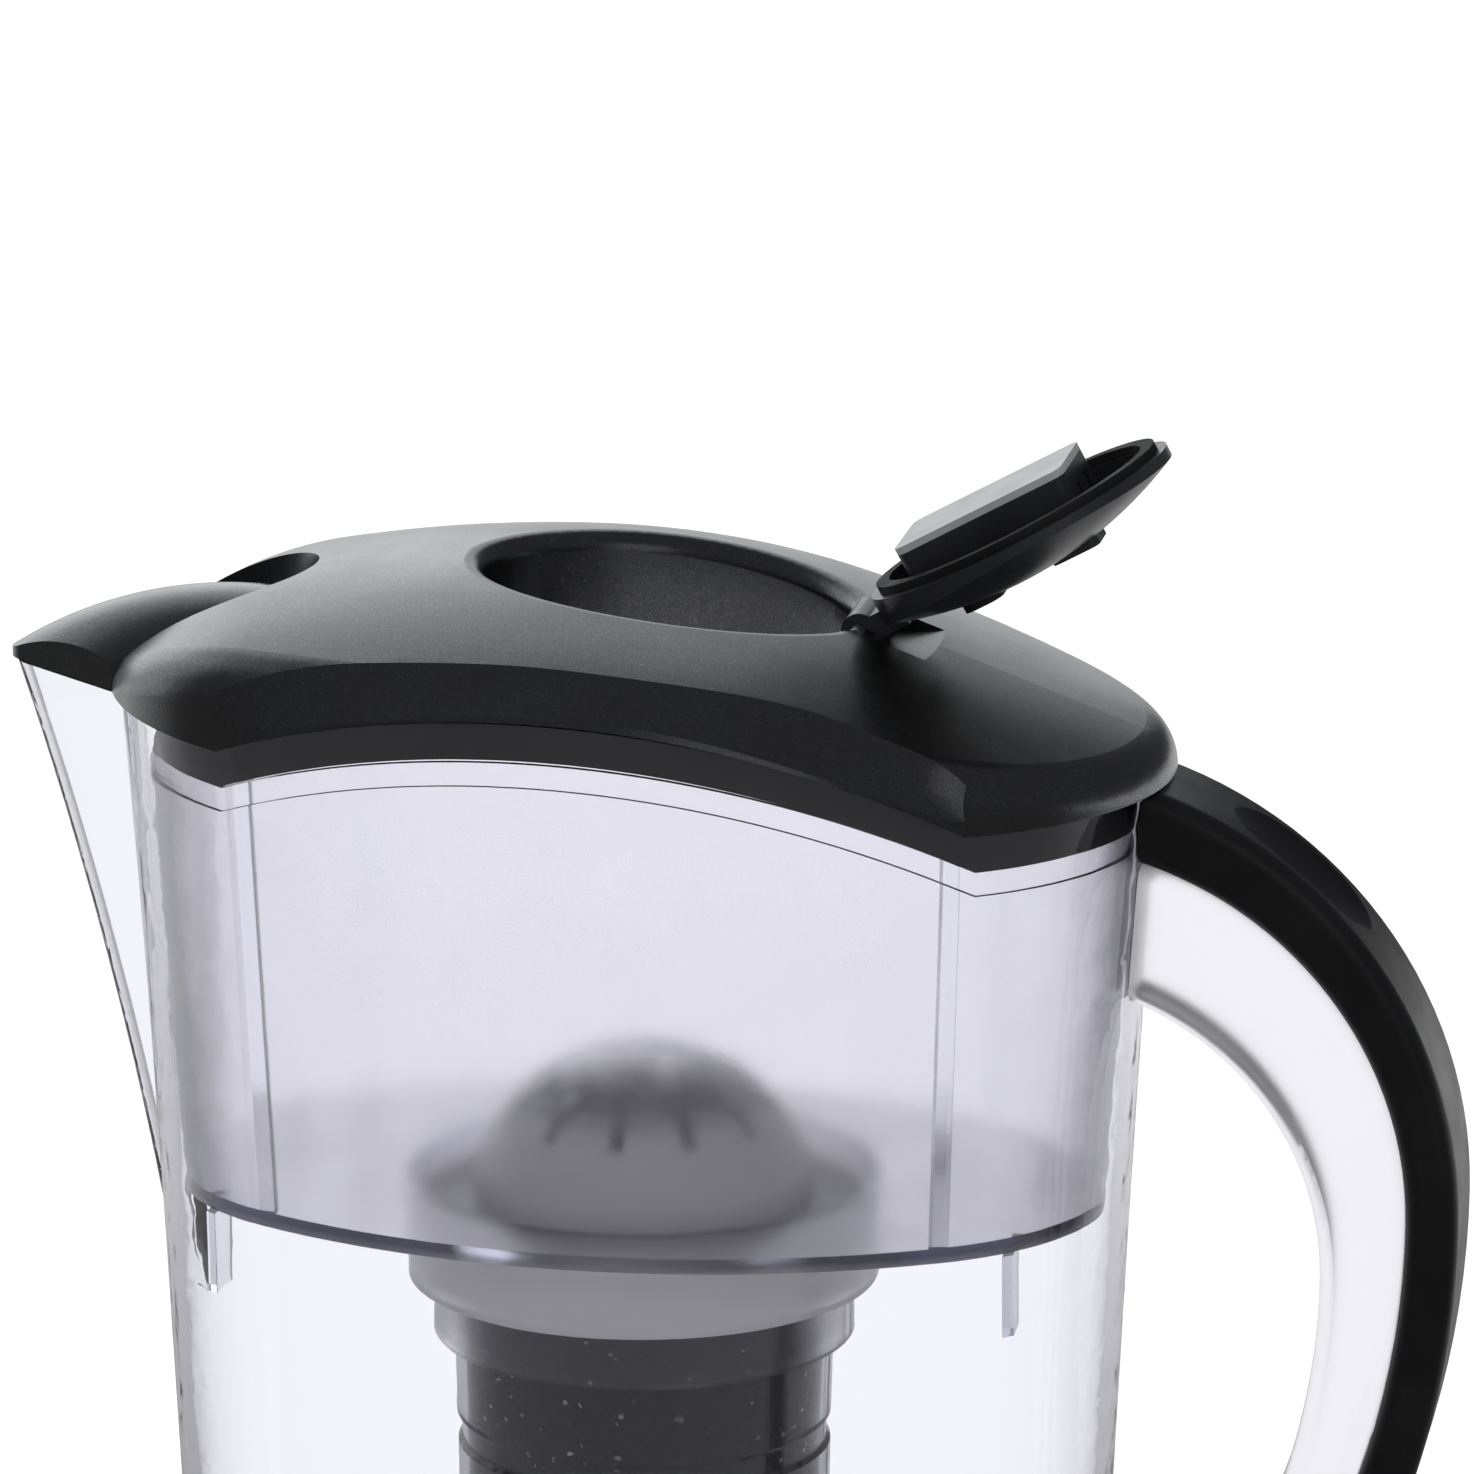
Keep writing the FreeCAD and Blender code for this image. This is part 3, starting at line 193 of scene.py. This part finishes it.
def grained_plastic(name, dark, light, rough, grain=GRAIN_SCALE, depth=GRAIN_DEPTH, shine=0.5):
    """Moulded plastic with a fine grain and slight unevenness of colour."""
    made, shader = new_material(name)
    fill(shader, Specular_IOR_Level=shine)
    paint(made, shader, noise(made, scale=60.0), [(0.35, dark), (0.65, light)])
    gloss(made, shader, noise(made, scale=140.0), rough)
    bump(made, shader, noise(made, scale=grain, detail=2.0), depth)
    return made


def flake_plastic(name, dark, light, flake, rough):
    """Graphite plastic with very fine flakes that show as a soft sheen."""
    made, shader = new_material(name)
    fill(shader, Metallic=1.0)
    paint(made, shader, cells(made, scale=7000.0), [(0.1, dark), (0.8, light), (0.97, flake)])
    gloss(made, shader, noise(made, scale=70.0), rough)
    bump(made, shader, noise(made, scale=5000.0, detail=1.0), depth=0.000004, strength=0.5)
    return made


def granules(name, gap, grain, speck):
    """Dark grains with scattered pale specks."""
    grain_scale = 1500.0
    made, shader = new_material(name)
    fill(shader, Roughness=0.7, Specular_IOR_Level=0.25)
    paint(made, shader, cells(made, grain_scale), [(0.0, gap), (0.9, grain), (0.96, speck)])
    bump(made, shader, cells(made, grain_scale, "Distance"), depth=0.0002)
    return made


def fine_mesh(name, gap, thread):
    """Woven filter cloth."""
    made, shader = new_material(name)
    fill(shader, Roughness=0.7)
    place = add(made, "ShaderNodeTexCoord")
    threads = []
    for direction in ("X", "Y"):
        wave = add(made, "ShaderNodeTexWave", {"bands_direction": direction}, Scale=500.0)
        link(made, place.outputs["Object"], wave.inputs["Vector"])
        threads.append(wave.outputs["Fac"])
    weave = math_node(made, "MULTIPLY", *threads)
    paint(made, shader, weave, [(0.1, gap), (0.6, thread)])
    bump(made, shader, weave, depth=0.0002)
    return made


def satin_steel(name, dark, light):
    """Steel with fine brushed lines along Y."""
    made, shader = new_material(name)
    fill(shader, Metallic=1.0)
    lines = noise(made, scale=900.0, detail=3.0, stretch=(1.0, 0.05, 1.0))
    paint(made, shader, lines, [(0.3, dark), (0.7, light)])
    gloss(made, shader, lines, (0.25, 0.4))
    return made


def circuit_board(name, dark, light, track):
    """Green board with lighter tracks between its fields."""
    made, shader = new_material(name)
    fields = add(made, "ShaderNodeTexBrick", Scale=260.0,
                 Color1=opaque(dark), Color2=opaque(light), Mortar=opaque(track))
    place = add(made, "ShaderNodeTexCoord")
    link(made, place.outputs["Object"], fields.inputs["Vector"])
    link(made, fields.outputs["Color"], shader.inputs["Base Color"])
    roughness = spread(made, fields.outputs["Fac"], low=0.35, high=0.5, start=0.0, end=1.0)
    link(made, roughness, shader.inputs["Roughness"])
    return made


# Jug and handle

dress(clear_plastic("clear_jug", tint=(0.99, 0.99, 1.0), rough=(0.004, 0.006),
                    absorb=(0.3, 0.25, 0.94), density=12.0, ripple=14.0, depth=0.000003),
      "jug_body")
dress(clear_plastic("frosted_frame", tint=(0.88, 0.88, 0.9), rough=(0.3, 0.38),
                    absorb=(0.72, 0.7, 0.93), density=5.0),
      "handle_frame")
dress(grained_plastic("grip_black", (0.006, 0.006, 0.007), (0.009, 0.009, 0.01), rough=(0.32, 0.4)),
      "handle_grip")

# Hopper and cartridge

hopper_plastic = clear_plastic("frosted_hopper", tint=(0.995, 0.99, 1.0), rough=(0.14, 0.2),
                               absorb=(0.35, 0.3, 0.92), density=11.0)
hopper_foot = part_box("hopper")[0].z
milky_band(hopper_plastic, hopper_foot + COLLAR_TOP, hopper_foot + SOCKET_TOP, clear=0.55)
dress(hopper_plastic, "hopper")

cap_plastic = clear_plastic("frosted_cap", tint=(0.99, 0.99, 1.0), rough=(0.14, 0.2),
                            absorb=(0.7, 0.7, 0.9), density=3.0)
cap_foot, cap_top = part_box("cartridge_cap")
milky_band(cap_plastic, cap_foot.z, cap_top.z - CAP_CLEAR_DEPTH, clear=0.3)
dress(cap_plastic, "cartridge_cap")

dress(clear_plastic("clear_case", tint=(0.9, 0.9, 0.94), rough=(0.02, 0.05),
                    absorb=(0.6, 0.58, 0.8), density=10.0, ripple=60.0),
      "cartridge_case")
dress(grained_plastic("white_plastic", (0.7, 0.71, 0.74), (0.76, 0.77, 0.8), rough=(0.4, 0.5),
                      grain=1500.0, depth=0.00002),
      "cartridge_base")
dress(granules("filter_grains", gap=(0.003, 0.003, 0.004), grain=(0.012, 0.012, 0.014),
               speck=(0.4, 0.4, 0.44)),
      "filter_media")
dress(fine_mesh("filter_cloth", gap=(0.3, 0.3, 0.32), thread=(0.78, 0.78, 0.8)),
      "inlet_screen", "outlet_screen")

# Lid, flap and spout cover

dress(flake_plastic("graphite", (0.14, 0.142, 0.148), (0.22, 0.224, 0.23), flake=(0.42, 0.425, 0.43),
                    rough=(0.24, 0.29)),
      "lid_shell", "spout_cover")
dress(grained_plastic("skirt_black", (0.012, 0.0115, 0.015), (0.018, 0.017, 0.022), rough=(0.35, 0.45),
                      shine=0.4),
      "lid_skirt")
dress(grained_plastic("flap_black", (0.016, 0.0165, 0.019), (0.024, 0.0245, 0.028), rough=(0.26, 0.34)),
      "refill_flap", "timer_housing")
dress(grained_plastic("pale_grey", (0.36, 0.36, 0.37), (0.42, 0.42, 0.43), rough=(0.25, 0.35),
                      grain=COARSE_GRAIN_SCALE),
      "battery_cover")
dress(grained_plastic("button_grey", (0.012, 0.012, 0.013), (0.02, 0.02, 0.022), rough=(0.4, 0.5),
                      grain=COARSE_GRAIN_SCALE, depth=0.00002),
      "timer_button")
dress(grained_plastic("window_smoke", (0.02, 0.022, 0.022), (0.03, 0.032, 0.032), rough=(0.08, 0.14),
                      grain=300.0, depth=0.000003),
      "display_window")
dress(circuit_board("circuit_board", dark=(0.02, 0.16, 0.07), light=(0.025, 0.2, 0.085),
                    track=(0.08, 0.3, 0.13)),
      "timer_board")

# Seals and steel

dress(grained_plastic("seal_rubber", (0.008, 0.008, 0.009), (0.014, 0.014, 0.015), rough=(0.6, 0.75),
                      grain=COARSE_GRAIN_SCALE, depth=0.00003, shine=0.3),
      "neck_seal", "flap_seal")
dress(satin_steel("satin_steel", dark=(0.42, 0.42, 0.43), light=(0.64, 0.64, 0.65)),
      "coin_cell", "flap_hinge_pin", "spout_hinge_pin")


# Stage


def ray_kinds(made):
    """How far a ray shows the white, straight or through clear plastic, and whether it was mirrored."""
    path = add(made, "ShaderNodeLightPath")
    mirrored = math_node(made, "GREATER_THAN", path.outputs["Glossy Depth"], 0.5)
    straight = math_node(made, "MAXIMUM", path.outputs["Is Camera Ray"], path.outputs["Is Transmission Ray"])
    lost = math_node(made, "MULTIPLY", mirrored, MIRROR_LOSS)
    return math_node(made, "SUBTRACT", straight, lost), mirrored


def choose(made, share, first, second):
    """Mix of two shaders, with a share of the second."""
    mix = add(made, "ShaderNodeMixShader")
    for socket, source in zip(mix.inputs, (share, first, second)):
        link(made, source, socket)
    return mix.outputs[0]


def make_floor():
    """Pale floor that keeps a shadow; mirrors see it pale behind the object and dark in front."""
    mesh = bpy.data.meshes.new("floor")
    corners = [(-FLOOR_HALF, -FLOOR_HALF, 0), (FLOOR_HALF, -FLOOR_HALF, 0),
               (FLOOR_HALF, FLOOR_HALF, 0), (-FLOOR_HALF, FLOOR_HALF, 0)]
    mesh.from_pydata(corners, [], [(0, 1, 2, 3)])
    floor = bpy.data.objects.new("floor", mesh)
    bpy.context.scene.collection.objects.link(floor)
    made, shader = new_material("floor_white")
    fill(shader, Base_Color=(0.85, 0.85, 0.86, 1.0), Roughness=0.9)
    straight, mirrored = ray_kinds(made)
    white = add(made, "ShaderNodeEmission", Strength=WHITE)
    mirror = add(made, "ShaderNodeEmission")
    place = add(made, "ShaderNodeNewGeometry")
    behind = axes(made, place.outputs["Position"])["Y"]
    link(made, spread(made, behind, low=0.06, high=0.8, start=0.0, end=0.6), mirror.inputs["Strength"])
    seen = choose(made, mirrored, shader.outputs[0], mirror.outputs[0])
    seen = choose(made, math_node(made, "MULTIPLY", straight, FLOOR_WHITE), seen, white.outputs[0])
    link(made, seen, made.node_tree.nodes["Material Output"].inputs["Surface"])
    mesh.materials.append(made)


def make_world():
    """White to look at, a dimmer room for the light, and one bright side, back left, for mirrors."""
    world = bpy.data.worlds.new("studio")
    world.use_nodes = True
    bpy.context.scene.world = world
    room = world.node_tree.nodes["Background"]
    fill(room, Color=(0.72, 0.73, 0.75, 1.0))
    direction = add(world, "ShaderNodeTexCoord").outputs["Generated"]
    edge = add(world, "ShaderNodeVectorMath", {"operation": "DOT_PRODUCT"})
    edge.inputs[1].default_value = BRIGHT_SIDE
    link(world, direction, edge.inputs[0])
    along = axes(world, direction)
    left = spread(world, edge.outputs["Value"], low=0.0, high=1.0, start=-0.05, end=0.05)
    low_down = spread(world, along["Z"], low=1.0, high=0.0, start=0.6, end=0.8)
    behind = spread(world, along["Y"], low=0.0, high=1.0, start=0.0, end=0.3)
    glow = math_node(world, "MULTIPLY", left, low_down)
    glow = math_node(world, "MULTIPLY", glow, behind)
    tones = [(0.0, (0.065, 0.066, 0.072)), (1.0, (0.76, 0.785, 0.8))]
    mirror = add(world, "ShaderNodeBackground")
    link(world, shades(world, glow, tones), mirror.inputs["Color"])
    white = add(world, "ShaderNodeBackground", Color=(1.0, 1.0, 1.0, 1.0), Strength=WHITE)
    straight, mirrored = ray_kinds(world)
    seen = choose(world, mirrored, room.outputs[0], mirror.outputs[0])
    seen = choose(world, straight, seen, white.outputs[0])
    link(world, seen, world.node_tree.nodes["World Output"].inputs["Surface"])


def aim(thing, place, target):
    """Put a lamp or camera at a place and point it at a target."""
    bpy.context.scene.collection.objects.link(thing)
    thing.location = place
    thing.rotation_euler = (Vector(target) - Vector(place)).to_track_quat("-Z", "Y").to_euler()


def make_lamp(name, place, target, size, power):
    """Soft rectangular lamp, in metres and watts."""
    lamp = bpy.data.lights.new(name, "AREA")
    lamp.shape = "RECTANGLE"
    lamp.size, lamp.size_y = size
    lamp.energy = power
    aim(bpy.data.objects.new(name, lamp), place, target)


def make_camera():
    """The photo's viewpoint: a long lens a little to the handle side and above the lid."""
    lens = bpy.data.cameras.new("photo_view")
    lens.sensor_width = SENSOR_WIDTH
    lens.lens = FOCAL_LENGTH
    camera = bpy.data.objects.new("photo_view", lens)
    aim(camera, CAMERA_PLACE, CAMERA_TARGET)
    bpy.context.scene.camera = camera


make_floor()
make_world()
make_lamp("back_left", place=(-1.1, 1.6, 0.75), target=(0.0, 0.0, 0.22), size=(1.6, 0.9), power=2.6)
make_lamp("front_fill", place=(0.9, -1.7, 0.9), target=(0.0, 0.0, 0.18), size=(1.2, 1.2), power=0.9)
make_camera()
bpy.context.scene.view_settings.view_transform = "Standard"
